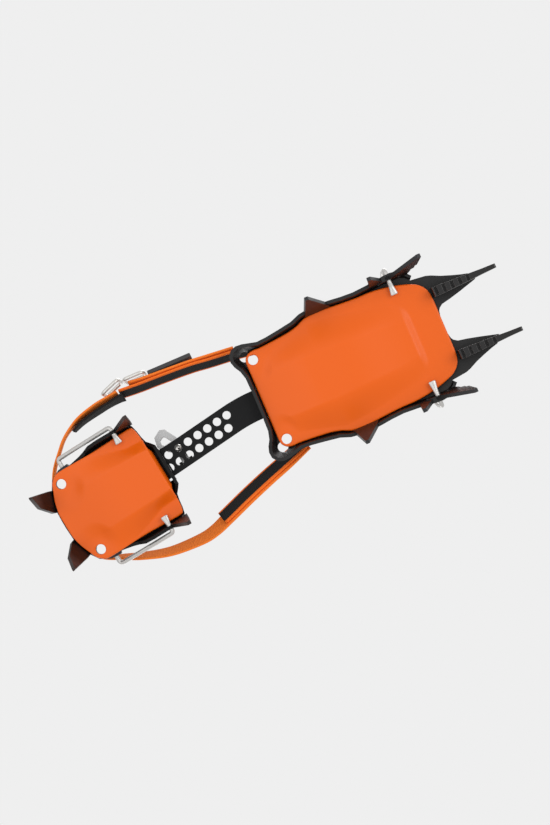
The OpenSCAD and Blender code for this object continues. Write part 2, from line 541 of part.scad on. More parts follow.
// Upstand that carries the strap round the heel: inner face out to the end, outer face back to the middle
upstand_h = 9;
upstand_line = [[-8, 0], [-7, 13], [-4.3, 24.2], [-6.2, 25], [-9.1, 13.6], [-10.1, 0]];
module cradle_plan() polygon([[bar_u + 4, cradle_half_w], [bar_u - 3, cradle_half_w - 0.6],
    [-4.9, 31.4], [-11, 22], [-13.4, 10], [-13.4, -10], [-11, -22], [-4.9, -31.4],
    [bar_u - 3, -cradle_half_w + 0.6], [bar_u + 4, -cradle_half_w], [bar_u + 7, -cradle_half_w + 6],
    [bar_u + 7, -22], [fork_u + 5, -lever_w / 2 - 5], [fork_u + 5, lever_w / 2 + 5], [bar_u + 7, 22],
    [bar_u + 7, cradle_half_w - 6]]);
module heel_cradle() color(slate) at_heel() difference() {
    union() {
        translate([0, 0, cradle_z0]) linear_extrude(cradle_h) cradle_plan();
        translate([0, 0, cradle_z0 + cradle_h - 1]) linear_extrude(upstand_h + 1)
            for (s = both) polygon([for (p = upstand_line) [p[0], s * p[1]]]);
    }
    translate([fork_u - lever_hub_d / 2 - 0.6, -lever_w / 2 - 0.3, cradle_z0 - 1])
        cube([40, lever_w + 0.6, cradle_h + 2]);
    for (s = both) translate([-0.8, s * heel_hole_y, cradle_z0 - 1])
        cylinder(d = plate_hole_d + 0.8, h = cradle_h + 2);
    translate([fork_u, -40, heel_bar_z]) rotate([-90, 0, 0]) cylinder(d = lever_pin_d, h = 80);
    translate([bar_u, -60, heel_bar_z]) rotate([-90, 0, 0]) cylinder(d = wire_d, h = 120);
}
lever_hub_d = 8;
lever_t = 4;
module heel_lever() color(slate) at_heel() translate([fork_u, 0, heel_bar_z]) difference() {
    union() {
        rotate([-90, 0, 0]) translate([0, 0, -lever_w / 2]) cylinder(d = lever_hub_d, h = lever_w);
        translate([0, 0, -lever_hub_d / 2]) linear_extrude(lever_t) polygon([[0, lever_w / 2],
            [lever_len * 0.5, lever_w / 2 - 2], [lever_len - 3, lever_w / 2 - 5],
            [lever_len, lever_w / 2 - 9],
            [lever_len, 9 - lever_w / 2], [lever_len - 3, 5 - lever_w / 2],
            [lever_len * 0.5, 2 - lever_w / 2], [0, -lever_w / 2]]);
    }
    rotate([-90, 0, 0]) translate([0, 0, -30]) cylinder(r = lever_pin_d / 2 + lever_gap, h = 60);
    translate([0, 0, -lever_hub_d]) linear_extrude(2 * lever_hub_d)
        rounded_slot(lever_hub_d / 2 + 3, lever_len - 5, lever_w / 2 - 9, 2);
}
module lever_hinge_pin() color(silver) at_heel() translate([fork_u, 0, heel_bar_z])
    rotate([-90, 0, 0]) translate([0, 0, -lever_w / 2 - 5]) cylinder(d = lever_pin_d, h = lever_w + 10);

// Rivets that hold the front points under the horns
module front_point_rivets() color(silver) for (s = both) for (x = rivet_x)
    translate([x, s * front_point_y, web_bottom - rivet_len]) cylinder(d = rivet_d, h = rivet_len);

// Strap routes: plan position, height of the lower edge above that at the toe, and how far the upper
// edge leans in over the foot
strap_back_route = [[11.2, 37.9, 0, 8], [-5.4, 44.4, 0, 8], [-20.8, 49.4, 0, 8.4], [-39, 56, 0, 8.4],
    [-57, 63, 0.4, 8.4], [-70, 68, 1, 7.6], [-82, 70, 1.6, 6.8],
    [-104, 69.4, 2.4, 5.2], [-124, 64.5, 3.4, 3.6], [-136, 60, 5.2, 2], [-143, 58, 6.3, 0.6],
    [-149, 55, 6.3, 0], [-154, 49.5, 6.3, 0], [-158.5, 38, 6.3, 0], [-161.5, 24.5, 6.3, 0],
    [-162.5, 10.5, 6.3, 0], [-161.3, -2, 6.3, 0], [-158, -10.6, 6.3, 0], [-154, -17, 6.3, 0],
    [-148, -24, 5.4, 0], [-142, -30.5, 4.6, 0], [-134, -36, 3.8, 0.8], [-125, -39.5, 3, 3.2],
    [-112, -42.2, 2.2, 5], [-103, -43.4, 1.8, 5], [-94.7, -44.5, 1.6, 5]];
strap_front_route = [[-62.5, 62.4, 0.6, 8.2], [-57.9, 60.7, 0.4, 8.4], [-39.9, 53.7, 0, 8.4],
    [-21, 47, 0, 8.4], [-4, 41.4, 0, 8], [10, 36, 0, 8], [24, 26, 0, 8], [32, 14, 0, 8], [35, 0, 0, 8],
    [32, -14, 0, 8], [24, -26, 0, 8], [10, -34.2, 0, 6.4], [-6, -37.3, 0, 6], [-28, -39.6, 0.2, 6],
    [-42, -41.3, 0.5, 6], [-64, -42.5, 1, 6], [-78, -43, 1.2, 6], [-87, -43.6, 1.4, 6],
    [-93.6, -44.2, 1.5, 5.6]];
strap_tail_route = [[-85.5, -46.8, 1.4, 6], [-78, -45.8, 1.2, 6], [-64, -44.9, 1, 6], [-42, -43.6, 0.5, 6],
    [-28, -42.2, 0.2, 6], [-9.5, -40.3, 0, 6]];
strap_fold_route = [[-133.2, -33, 3.8, 0.8], [-124.3, -36.4, 3, 2], [-111.6, -39.1, 2.2, 3],
    [-103, -40.4, 1.8, 3], [-95.4, -41.3, 1.6, 4.2], [-91.8, -41.4, 1.5, 5.2]];
// Band on edge along a route, t thick and h wide, that leans to the left of the route for side 1
module band(route, side, t, h, z0) {
    n = outward(route);
    corners = [[1, 1], [1, 0], [-1, 0], [-1, 1]];
    points = [for (i = [0:last(route)]) for (c = corners)
        let (lean = route[i][3], rise = sqrt(h * h - lean * lean),
            off = c[0] * t / 2 * h / rise + side * lean * (c[1] - 0.5))
        [route[i][0] + n[i][0] * off, route[i][1] + n[i][1] * off, z0 + route[i][2] + rise * c[1]]];
    sides = [for (i = [0:last(route) - 1]) for (j = [0:3]) let (a = i * 4 + j, b = i * 4 + (j + 1) % 4)
        for (f = [[a, b, a + 4], [b, b + 4, a + 4]]) f];
    end = last(route) * 4;
    polyhedron(points, concat(sides, [[3, 2, 1, 0], [end, end + 1, end + 2, end + 3]]));
}
module strap_back() color(orange) band(strap_back_route, 1, strap_t, strap_w, strap_z);
module strap_front() color(black) band(strap_front_route, -1, strap_t, strap_w, strap_z);
module strap_tail() color(orange) band(strap_tail_route, 1, strap_t, strap_w, strap_z);
module strap_fold() color(black) band(strap_fold_route, 1, strap_t, strap_w, strap_z);
// Buckle ring: a rectangle of wire that stands on edge, its length along the strap
buckle_h = strap_w + 2 * buckle_wire_d + 1;
strap_lean = 23;
ring_lean = 8;
module buckle(x, y, lift, turn) color(silver)
    translate([x, y, strap_z + lift + strap_w / 2]) rotate([0, 0, turn]) rotate([90 - ring_lean, 0, 0])
    translate([0, 0, -buckle_wire_d / 2]) linear_extrude(buckle_wire_d) difference() {
        square([buckle_len, buckle_h], center = true);
        square([buckle_len - 2 * buckle_wire_d, buckle_h - 2 * buckle_wire_d], center = true);
    }
module buckle_frame() buckle(-97.2, -50.2, 1.7, -20.6);
module buckle_ring() buckle(-79.8, -50.8, 1.3, 0);
tab_len = 32;
tab_t = 3;
module strap_tab() color(slate) translate([-70.2, -47.8, strap_z + 1 + strap_w / 2])
    rotate([-strap_lean, 0, 0])
        translate([0, -tab_t / 2, 1 - strap_w / 2]) cube([tab_len, tab_t, strap_w - 2]);

toe_frame();
front_point_left();
front_point_right();
front_point_rivets();
toe_plate();
link_bar();
heel_frame();
heel_plate();
lock_lever();
lock_pin();
lock_hinge_pin();
toe_bail();
heel_bail();
heel_cradle();
heel_lever();
lever_hinge_pin();
strap_back();
strap_front();
strap_tail();
strap_fold();
buckle_frame();
buckle_ring();
strap_tab();
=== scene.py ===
# %% [markdown]
# # A mountaineering crampon seen from below
# A crampon is a frame of steel points that straps under a boot. This one shows its underside to the camera,
# so the orange anti-snow plates face us and the points come towards us. The exact solids come first, and
# every new surface is laid over them in the same frame: metres, +X to the toe, +Z up, and the boot's sole at
# height zero.

# %% the solids
import math

import bmesh
import bpy
import numpy as np
from mathutils import Matrix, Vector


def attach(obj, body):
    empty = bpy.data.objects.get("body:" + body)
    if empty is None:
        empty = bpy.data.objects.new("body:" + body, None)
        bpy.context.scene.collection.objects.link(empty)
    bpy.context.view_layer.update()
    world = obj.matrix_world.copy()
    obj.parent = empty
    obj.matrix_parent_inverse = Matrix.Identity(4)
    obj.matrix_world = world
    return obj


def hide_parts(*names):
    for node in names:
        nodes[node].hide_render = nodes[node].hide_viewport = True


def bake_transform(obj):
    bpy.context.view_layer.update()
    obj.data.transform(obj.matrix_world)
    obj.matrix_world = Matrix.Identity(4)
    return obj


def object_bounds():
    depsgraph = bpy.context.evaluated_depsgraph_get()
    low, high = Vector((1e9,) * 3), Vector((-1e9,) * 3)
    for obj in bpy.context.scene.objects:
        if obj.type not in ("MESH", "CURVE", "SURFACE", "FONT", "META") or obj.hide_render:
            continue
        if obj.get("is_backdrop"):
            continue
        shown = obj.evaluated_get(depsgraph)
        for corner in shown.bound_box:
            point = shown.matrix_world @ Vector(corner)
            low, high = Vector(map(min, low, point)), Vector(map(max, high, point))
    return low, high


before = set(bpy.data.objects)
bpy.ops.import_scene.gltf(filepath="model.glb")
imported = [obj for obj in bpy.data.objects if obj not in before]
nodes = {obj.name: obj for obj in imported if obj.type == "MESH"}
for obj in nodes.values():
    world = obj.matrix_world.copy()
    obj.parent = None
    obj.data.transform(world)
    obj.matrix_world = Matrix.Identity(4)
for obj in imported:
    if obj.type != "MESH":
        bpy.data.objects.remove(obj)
cad_box = np.array(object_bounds())
MM = 0.001
print("solids", len(nodes), "box", np.round(cad_box, 4).tolist())

# %% [markdown]
# ## Grids, paths and meshes
# Nearly every new piece is a grid of points: a sheet, or a profile carried along a path. Curve objects with a
# bevel could draw the wires and straps, but arrays of points can be measured, tapered and turned freely. So
# each piece is worked out in millimetres with numpy and becomes a mesh in one step.


# %% faces of a grid
def grid_faces(rows, cols, close_rows=False, close_cols=False):
    """Four-sided faces of a rows x cols grid of points, optionally joined round in either direction."""
    i = np.arange(rows if close_rows else rows - 1)[:, None]
    j = np.arange(cols if close_cols else cols - 1)[None, :]
    a = i * cols + j
    b = i * cols + (j + 1) % cols
    c = ((i + 1) % rows) * cols + (j + 1) % cols
    d = ((i + 1) % rows) * cols + j
    return np.stack([a, b, c, d], -1).reshape(-1, 4)


print("a grid of 3 x 4 points has", len(grid_faces(3, 4)), "faces")

# %% paths
CURVE_STEPS = 24


def unit(v):
    """Vectors of length 1: each one over its own length."""
    return v / np.linalg.norm(v, axis=-1, keepdims=True)


def turned(a, b, degrees):
    """Two coordinates turned by an angle: a cos - b sin, and a sin + b cos."""
    c, s = math.cos(math.radians(degrees)), math.sin(math.radians(degrees))
    return a * c - b * s, a * s + b * c


def run_length(p):
    """Length of a line from its start to each of its points."""
    return np.concatenate([[0], np.cumsum(np.linalg.norm(np.diff(p, axis=0), axis=1))])


def even_path(points, count):
    """The same line sampled at count even steps of its length."""
    p = np.asarray(points, float)
    s = run_length(p[:, :3])
    steps = np.linspace(0, s[-1], count)
    return np.stack([np.interp(steps, s, p[:, k]) for k in range(p.shape[1])], 1)


def smooth_path(points, count):
    """Catmull-Rom curve through the points: each span is a cubic whose end slopes are half the difference of
    the neighbours. It is sampled at count even steps of its length."""
    p = np.asarray(points, float)
    ends = np.vstack([2 * p[0] - p[1], p, 2 * p[-1] - p[-2]])
    t = np.linspace(0, 1, CURVE_STEPS, endpoint=False)[:, None]
    a, b, c, d = (ends[k:len(ends) - 3 + k, None, :] for k in range(4))
    fine = 0.5 * (2 * b + (c - a) * t + (2 * a - 5 * b + 4 * c - d) * t**2 + (3 * b - a - 3 * c + d) * t**3)
    fine = np.vstack([fine.reshape(-1, p.shape[1]), p[-1]])
    return even_path(fine, count)


corner_line = smooth_path([(0, 0), (10, 0), (10, 10)], 50)
print("a smooth corner of two 10 mm legs is", round(run_length(corner_line)[-1], 2), "mm long")

# %% meshes on a body
UV_NAME = "along_and_across"


def put(name, points, faces, material, body, node, uv=None):
    """New smooth mesh at the origin, from points in millimetres, that stands for a solid and rides on a body
    of the model. Body None leaves it free to be blended between two bodies."""
    mesh = bpy.data.meshes.new(name)
    mesh.from_pydata((np.asarray(points) * MM).tolist(), [], [list(f) for f in faces])
    if uv is not None:
        corners = np.zeros(len(mesh.loops), int)
        mesh.loops.foreach_get("vertex_index", corners)
        layer = mesh.uv_layers.new(name=UV_NAME)
        layer.data.foreach_set("uv", np.asarray(uv, float)[corners].ravel())
    mesh.shade_smooth()
    mesh.materials.append(material)
    obj = bpy.data.objects.new(name, mesh)
    bpy.context.scene.collection.objects.link(obj)
    if body:
        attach(obj, body)
    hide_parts(node)
    return obj


print("one millimetre is", MM, "of the scene's metres")

# %% [markdown]
# ## Finishes
# The real parts are black coated steel, bright wire and semi-gloss moulded plastic. An image texture could
# carry their small unevenness, but a procedural one needs no file: noise on Object coordinates moves the
# roughness and lifts a faint bump of a Principled shader. Colours are screen colours, written as linear
# light.


# %% finish helpers
BUMP_STRENGTH = 0.5
NOISE_DETAIL = 4


def linear(*srgb):
    """Linear light of an 8-bit screen colour."""
    c = np.array(srgb) / 255
    return tuple(np.where(c <= 0.04045, c / 12.92, ((c + 0.055) / 1.055) ** 2.4))


def finish(name, colour, rough, metal=0.0, grain=300.0, uneven=0.06, bump=0.0, specular=0.5):
    """Principled finish whose roughness wanders by uneven about rough, over noise of the given grain. The
    same noise lifts a bump of the given height in metres."""
    m = bpy.data.materials.new(name)
    m.use_nodes = True
    tree, shader = m.node_tree, m.node_tree.nodes["Principled BSDF"]
    shader.inputs["Base Color"].default_value = (*colour, 1)
    shader.inputs["Metallic"].default_value = metal
    shader.inputs["Specular IOR Level"].default_value = specular
    place = tree.nodes.new("ShaderNodeTexCoord")
    noise = tree.nodes.new("ShaderNodeTexNoise")
    noise.inputs["Scale"].default_value = grain
    noise.inputs["Detail"].default_value = NOISE_DETAIL
    spread = tree.nodes.new("ShaderNodeMapRange")
    spread.inputs["To Min"].default_value = rough - uneven
    spread.inputs["To Max"].default_value = rough + uneven
    tree.links.new(place.outputs["Object"], noise.inputs["Vector"])
    tree.links.new(noise.outputs["Fac"], spread.inputs["Value"])
    tree.links.new(spread.outputs["Result"], shader.inputs["Roughness"])
    if bump:
        lift = tree.nodes.new("ShaderNodeBump")
        lift.inputs["Strength"].default_value = BUMP_STRENGTH
        lift.inputs["Distance"].default_value = bump
        tree.links.new(noise.outputs["Fac"], lift.inputs["Height"])
        tree.links.new(lift.outputs["Normal"], shader.inputs["Normal"])
    return m


def painted_tip_light(material, lower, top, bottom):
    """The material with a base colour that runs from its own at height top to lower at height bottom, in
    metres of the model. The lighter colour below is painted light: a painted reflection of the orange plates
    on the points' tips, while the roots keep the dark colour where the plates shade them."""
    tree, shader = material.node_tree, material.node_tree.nodes["Principled BSDF"]
    place, apart = tree.nodes.new("ShaderNodeTexCoord"), tree.nodes.new("ShaderNodeSeparateXYZ")
    step, mix = tree.nodes.new("ShaderNodeMapRange"), tree.nodes.new("ShaderNodeMix")
    mix.data_type = "RGBA"
    step.inputs["From Min"].default_value = top
    step.inputs["From Max"].default_value = bottom
    upper_colour, painted_tip_colour = mix.inputs[6], mix.inputs[7]
    upper_colour.default_value = shader.inputs["Base Color"].default_value
    painted_tip_colour.default_value = (*lower, 1)
    tree.links.new(place.outputs["Object"], apart.inputs["Vector"])
    tree.links.new(apart.outputs["Z"], step.inputs["Value"])
    tree.links.new(step.outputs["Result"], mix.inputs["Factor"])
    tree.links.new(mix.outputs[2], shader.inputs["Base Color"])
    return material


print("a screen grey of 128 is", round(float(linear(128)[0]), 3), "in linear light")

# %% metal and plastic
STEEL = {"rough": 0.46, "grain": 240, "bump": 0.00004}
# Both steels are painted lighter towards the points' tips, grey on the toe and brownish on the heel: a
# painted reflection of the orange plates. On the heel the black reaches further down, as painted shade next
# to the plate.
black_steel = painted_tip_light(finish("black coated steel", linear(12, 11, 11), specular=0.35, **STEEL),
                      linear(38, 38, 40), top=-0.015, bottom=-0.028)
heel_steel = painted_tip_light(finish("black coated heel steel", linear(12, 11, 11), specular=0.16, **STEEL),
                     linear(58, 49, 47), top=-0.023, bottom=-0.033)
tool_steel = finish("black tool steel", linear(24, 23, 23), specular=0.3, **STEEL)
# Bevel faces: partly the bare grey of worn cut edges, partly a painted highlight where the edges catch the
# light.
worn_edge_and_highlight = finish("worn steel edge and painted highlight", linear(100, 97, 96), 0.42, metal=0.3, grain=500, specular=0.3)
bar_black = finish("matte black bar", linear(17, 17, 18), 0.55, grain=500, specular=0.15)
bright_steel = finish("bright plated steel", linear(208, 205, 200), 0.3, metal=0.6, grain=700)
wire_steel = finish("drawn steel wire", linear(196, 194, 191), 0.34, metal=0.5, grain=900)
lock_grey = finish("grey stamped lever", linear(186, 186, 186), 0.42, metal=0.3, grain=500)
slate_plastic = finish("slate moulded plastic", linear(50, 54, 60), 0.5, grain=600, bump=0.00005,
                       specular=0.3)
tab_grey = finish("knurled grey tab", linear(66, 65, 66), 0.6, grain=1400, bump=0.0004, specular=0.25)
orange_plastic = finish("orange moulded plate", linear(236, 99, 14), 0.36, grain=180, uneven=0.04,
                        specular=0.27)
print("materials so far", len(bpy.data.materials))

# %% [markdown]
# ## Pressed steel and stamped metal
# The frames, points, bar and levers are cut and bent from sheet, and their solids already have the exact
# shapes. Modelling them again would only add error, so a merged copy of each solid is shaded smooth over its
# bends and gets a narrow bevel. The bevel's own faces carry a light grey that outlines every blade: partly
# the bare, worn steel of cut edges, partly a painted highlight where the edges catch the light.

# %% honed copies of the metal solids
MERGE_DISTANCE = 2e-6
FLAT_ANGLE = math.radians(0.6)
SHARP_ANGLE = math.radians(34)


def honed(node, body, width, material, edge):
    """Copy of a solid with doubles merged and flat faces joined, then a bevel of width millimetres whose
    faces take the edge material."""
    bm = bmesh.new()
    bm.from_mesh(nodes[node].data)
    bmesh.ops.remove_doubles(bm, verts=bm.verts, dist=MERGE_DISTANCE)
    bmesh.ops.dissolve_limit(bm, angle_limit=FLAT_ANGLE, verts=bm.verts, edges=bm.edges)
    mesh = bpy.data.meshes.new(node + "_honed")
    bm.to_mesh(mesh)
    bm.free()
    mesh.shade_smooth()
    mesh.set_sharp_from_angle(angle=SHARP_ANGLE)
    mesh.materials.clear()
    mesh.materials.append(material)
    mesh.materials.append(edge)
    obj = bpy.data.objects.new(node + "_honed", mesh)
    bpy.context.scene.collection.objects.link(obj)
    bevel = obj.modifiers.new("bevel", "BEVEL")
    bevel.width = width * MM
    bevel.segments = 2
    bevel.limit_method = "ANGLE"
    bevel.angle_limit = SHARP_ANGLE
    bevel.use_clamp_overlap = True
    bevel.material = 1
    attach(obj, body)
    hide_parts(node)
    return obj


for node, body, width, material, edge in [
    ("toe_frame", "toe", 0.2, black_steel, worn_edge_and_highlight),
    ("front_point_left", "toe", 0.25, tool_steel, worn_edge_and_highlight),
    ("front_point_right", "toe", 0.25, tool_steel, worn_edge_and_highlight),
    ("link_bar", "toe", 0.2, bar_black, bar_black),
    ("heel_frame", "heel", 0.2, heel_steel, worn_edge_and_highlight),
    ("lock_lever", "lock", 0.3, lock_grey, lock_grey),
    ("heel_cradle", "heel_wire", 0.8, slate_plastic, slate_plastic),
    ("heel_lever", "lever", 0.7, slate_plastic, slate_plastic),
    ("strap_tab", "heel", 0.6, tab_grey, tab_grey),
]:
    piece = honed(node, body, width, material, edge)
    print(node, len(piece.data.polygons), "faces")

# %% small pins keep their solids
for node in ("front_point_rivets", "lock_pin", "lock_hinge_pin", "lever_hinge_pin"):
    nodes[node].data.materials.clear()
    nodes[node].data.materials.append(bright_steel)
print("pins and rivets finished")

# %% [markdown]
# ## Anti-snow plates
# The plates are thin mouldings that keep snow from balling under the foot. Each has a raised middle panel: a
# crease on each side, long slopes out to a flat rim, and on the toe plate a steep slope at the front that
# catches the light. Sculpting would be hard to repeat, so a plate is a grid of rows across the foot whose
# height is a product of smooth ramps. Faces inside a fixing hole are dropped, the hole's edge is pulled onto
# a true circle, and Solidify gives the wall.

# %% plate skins
RIM_HEIGHT = -7.5
HOLE_R = 3.5
PLATE_WALL = 1.8
ROLL_WIDTH, ROLL_HEIGHT = 1.4, 0.9
ROLL_REACH = 0.96
PLATE_COLS = 131
OUTLINE_STEPS = 600
EDGE_CROWDING = 0.35


def ramp(t):
    """Smooth step from 0 to 1: three t squared less two t cubed."""
    t = np.clip(t, 0, 1)
    return t * t * (3 - 2 * t)


def slope(t):
    """Straight slope from 0 to 1 whose two ends are eased: the mean of the plain ramp and the smooth step."""
    return (np.clip(t, 0, 1) + ramp(t)) / 2


def plate_skin(line, rise, hole_y, rows):
    """Grid of rows across a half outline, (x, half width), at the rim's height less rise(x, y). Near the edge
    it rolls up by nearly a quarter circle, and the columns crowd there. Two holes lie at x = 0 and y = hole_y
    on either side."""
    outline = even_path(smooth_path(line, OUTLINE_STEPS), rows)
    x0, x1, half_width = outline[0, 0], outline[-1, 0], outline[:, 1:2]
    across = np.linspace(-1, 1, PLATE_COLS)
    across = np.sin(across * np.pi / 2) * EDGE_CROWDING + across * (1 - EDGE_CROWDING)
    x = np.repeat(outline[:, :1], PLATE_COLS, 1)
    y = half_width * across[None]
    inset = np.minimum(half_width - np.abs(y), np.minimum(x - x0, x1 - x))
    roll = ROLL_HEIGHT * (1 - np.sqrt(1 - (1 - np.clip(inset / ROLL_WIDTH, 0, 1)) ** 2 * ROLL_REACH))
    points = np.stack([x, y, RIM_HEIGHT + roll - rise(x, y)], -1).reshape(-1, 3)
    faces = grid_faces(rows, PLATE_COLS)
    for hole in ((0, hole_y), (0, -hole_y)):
        middle = points[faces].mean(1)[:, :2] - hole
        inside = np.hypot(middle[:, 0], middle[:, 1]) < HOLE_R
        rim = np.intersect1d(faces[inside], faces[~inside])
        points[rim, :2] = hole + unit(points[rim, :2] - hole) * HOLE_R
        faces = faces[~inside]
    used, faces = np.unique(faces, return_inverse=True)
    return points[used], faces.reshape(-1, 4)


def thicken(obj):
    """Plate wall, inward from the modelled face."""
    solid = obj.modifiers.new("wall", "SOLIDIFY")
    solid.thickness = PLATE_WALL * MM
    solid.offset = -1


print("a quarter of the way, a ramp is at", ramp(0.25), "and a slope at", slope(0.25))

# %% toe plate
TOE_HOLE_Y = 29.3
toe_line = [(-5.4, 27.5), (-4.6, 31.4), (-1.6, 34.4), (3, 35.4), (8, 35.3), (27, 36.9), (36, 38.8),
            (42, 41.3), (48, 42.4), (55, 42.6), (65, 41.6), (80, 40.6), (92, 40.4), (106, 38.4),
            (118, 34.8), (124, 31.5), (128, 26), (129.2, 18)]


def toe_rise(x, y):
    """Raised panel: its height, which fades to the rear and to the front, times the slope in from the foot of
    each side to the crease, times a dish round each hole, times a steep drop at the front."""
    crease = np.interp(x, [-5, 17, 45, 88, 104, 113], [15, 16.5, 17, 14.6, 12.6, 12.4])
    foot = np.interp(x, [-5, 20, 42, 60, 80, 100, 113], [25, 31, 37, 35.5, 32, 28, 20])
    height = 5.6 * ramp((x + 10) / 44) - 3.7 * ramp((x - 55) / 50)
    dish = ramp((np.hypot(x / 8.5, (np.abs(y) - 27) / 12) - 0.5) / 0.9)
    return height * slope((foot - np.abs(y)) / (foot - crease)) * dish * slope((110 - x) / 5)


points, faces = plate_skin(toe_line, toe_rise, TOE_HOLE_Y, rows=190)
thicken(put("toe_plate_skin", points, faces, orange_plastic, "toe", "toe_plate"))
print("toe plate", len(faces), "faces")

# %% heel plate
HEEL_HOLE_Y = 26
HEEL_TURN = 8.2
HEEL_X, HEEL_Y = -149.8, 22.8
heel_line = [(-12.2, 6), (-11.9, 9.6), (-10.2, 17.4), (-7.4, 24.4), (-4.6, 30), (0.2, 33.4), (5, 33.9),
             (12, 33.8), (26, 33.4), (40, 33.8), (58, 34.3), (61.3, 32.5), (62.4, 27.6), (62.8, 22),
             (63.2, 16.4), (64.8, 12.6)]


def to_heel(points):
    """Points of the heel section's own frame, turned and moved behind the toe section."""
    x, y = turned(points[:, 0], points[:, 1], -HEEL_TURN)
    return np.stack([HEEL_X + x, HEEL_Y + y, points[:, 2]], 1)


def heel_rise(x, y):
    """Raised panel that runs on to the front edge, times a dish round each hole. Its side slopes grow steeper
    towards the front."""
    crease = np.interp(x, [-5, 10, 50, 65], [14, 16.5, 16.2, 15])
    foot = np.interp(x, [-5, 10, 25, 38, 50, 64], [26, 33, 32, 28, 24, 23])
    height = 5.6 * ramp((x + 15) / 50)
    dish = ramp((np.hypot(x / 10, (np.abs(y) - 25) / 12) - 0.4) / 1.2)
    return height * slope((foot - np.abs(y)) / (foot - crease)) * dish * ramp((66 - x) / 4)


points, faces = plate_skin(heel_line, heel_rise, HEEL_HOLE_Y, rows=140)
thicken(put("heel_plate_skin", to_heel(points), faces, orange_plastic, "heel", "heel_plate"))
print("heel plate", len(faces), "faces")

# %% [markdown]
# ## Bail wires
# A bail is one bent wire that holds the boot. Its ends pass through the walls and are hammered flat inside. A
# bevelled curve would stay round, so the wire is an ellipse carried along a rounded route, and near the ends
# its two radii change, so that the round wire flows into the flat tab that shows over the plate.

# %% wire helpers
WIRE_R = 1.58
WIRE_COUNT, WIRE_SIDES = 420, 20
TAB_HALF_WIDTH = (2.6, 1.7)
TAB_HALF_THICK = (0.75, 0.8)
THICK_LEAD = 0.5
NOSE_LENGTH, NOSE_SHARE = 0.7, 0.22
CORNER_STEPS = 8


def rounded_route(points, reach):
    """Straight route whose corners are cut back by reach and bridged with a parabola."""
    p = np.asarray(points, float)
    w = np.linspace(0, 1, CORNER_STEPS)[:, None]
    out = [p[:1]]
    for before, corner, after in zip(p, p[1:], p[2:]):
        a = corner + unit(before - corner) * reach
        b = corner + unit(after - corner) * reach
        out.append((1 - w) ** 2 * a + 2 * w * (1 - w) * corner + w**2 * b)
    return np.vstack(out + [p[-1:]])


def wire(half_route, reach, narrow_at, round_at):
    """Tube along a half route and its mirror image in Y. The profile is an ellipse with one radius near +X
    and the other square to it: a flat tab at each end, which has narrowed at the first distance from the end
    and is round from the second."""
    mirrored = half_route[::-1] * (1, -1, 1)
    p = even_path(rounded_route(np.vstack([half_route, mirrored]), reach), WIRE_COUNT)
    along = unit(np.gradient(p, axis=0))
    wide = unit((1, 0, 0) - along[:, :1] * along)
    thin = np.cross(along, wide)
    s = run_length(p)
    s = np.minimum(s, s[-1] - s)
    nose = np.sqrt(np.clip(1 - (1 - np.clip(s / NOSE_LENGTH, 0, 1)) ** 2, 0, 1)) * NOSE_SHARE + 1 - NOSE_SHARE
    wide_r = np.interp(s, [0, narrow_at, round_at], [*TAB_HALF_WIDTH, WIRE_R]) * nose
    thin_r = np.interp(s, [0, narrow_at - THICK_LEAD, round_at], [*TAB_HALF_THICK, WIRE_R]) * nose
    k = np.linspace(0, 2 * np.pi, WIRE_SIDES, endpoint=False)[None, :, None]
    ring = np.cos(k) * (wide_r[:, None] * wide)[:, None] + np.sin(k) * (thin_r[:, None] * thin)[:, None]
    points = (p[:, None] + ring).reshape(-1, 3)
    start = list(range(WIRE_SIDES))
    end = [len(points) - WIRE_SIDES + j for j in start]
    return points, [*grid_faces(WIRE_COUNT, WIRE_SIDES, close_cols=True).tolist(), start[::-1], end]


square_bend = rounded_route([(0, 0, 0), (10, 0, 0), (10, 10, 0)], 3)
print("a bend of two 10 mm legs, rounded by 3 mm, is", round(run_length(square_bend)[-1], 2), "mm long")

# %% bails
BAIL_AXIS_Z = -10.5
TOE_BAIL_X, TOE_BAIL_HALF = 106, 50
HEEL_BAIL_X, HEEL_BAIL_HALF = 48.5, 41.8
CROSSBAR_X, CROSSBAR_Z = 5.5, 5.4
toe_half = np.array([(0, 32, 0), (0, TOE_BAIL_HALF, 0), (0, TOE_BAIL_HALF, 24), (-4, 36, 45), (2, 10, 48)])
toe_half = toe_half + (TOE_BAIL_X, 0, BAIL_AXIS_Z)
heel_half = np.array([(HEEL_BAIL_X, 29, BAIL_AXIS_Z), (HEEL_BAIL_X, HEEL_BAIL_HALF, BAIL_AXIS_Z),
                      (CROSSBAR_X, HEEL_BAIL_HALF, CROSSBAR_Z), (CROSSBAR_X, 30, CROSSBAR_Z)])
points, faces = wire(toe_half, reach=3, narrow_at=6, round_at=9)
put("toe_bail_wire", points, faces, wire_steel, "toe_wire", "toe_bail")
points, faces = wire(heel_half, reach=2.5, narrow_at=5, round_at=7)
put("heel_bail_wire", to_heel(points), faces, wire_steel, "heel_wire", "heel_bail")
print("bail wires of", len(faces), "faces each")

# %% [markdown]
# ## Strap
# The strap is ribbed webbing that stands on edge round the boot and leans in over the foot, so that from
# below its inner face shows. Cloth could hang it, but it is held taut, so one band shape serves every length:
# a flat profile with rounded edges carried along the route. The weave is drawn on the band's own UV map:
# cross ribs that repeat along the length, and on the dark layer an orange edge along both sides. Round the
# heel the strap lies on the cradle, so those two lengths ride on no body and are left free, to be blended
# between the heel section and the heel wire.

# %% webbing finishes
RIB_PITCH = 0.0011
THREADS_ACROSS = 12
THREAD_SHARE = 0.35
RIB_SHADE = 0.9
EDGE_FROM = 0.37
WEB_ROUGH, WEB_SPECULAR = 0.85, 0.12
WEAVE_STRENGTH, WEAVE_HEIGHT = 0.4, 0.00015


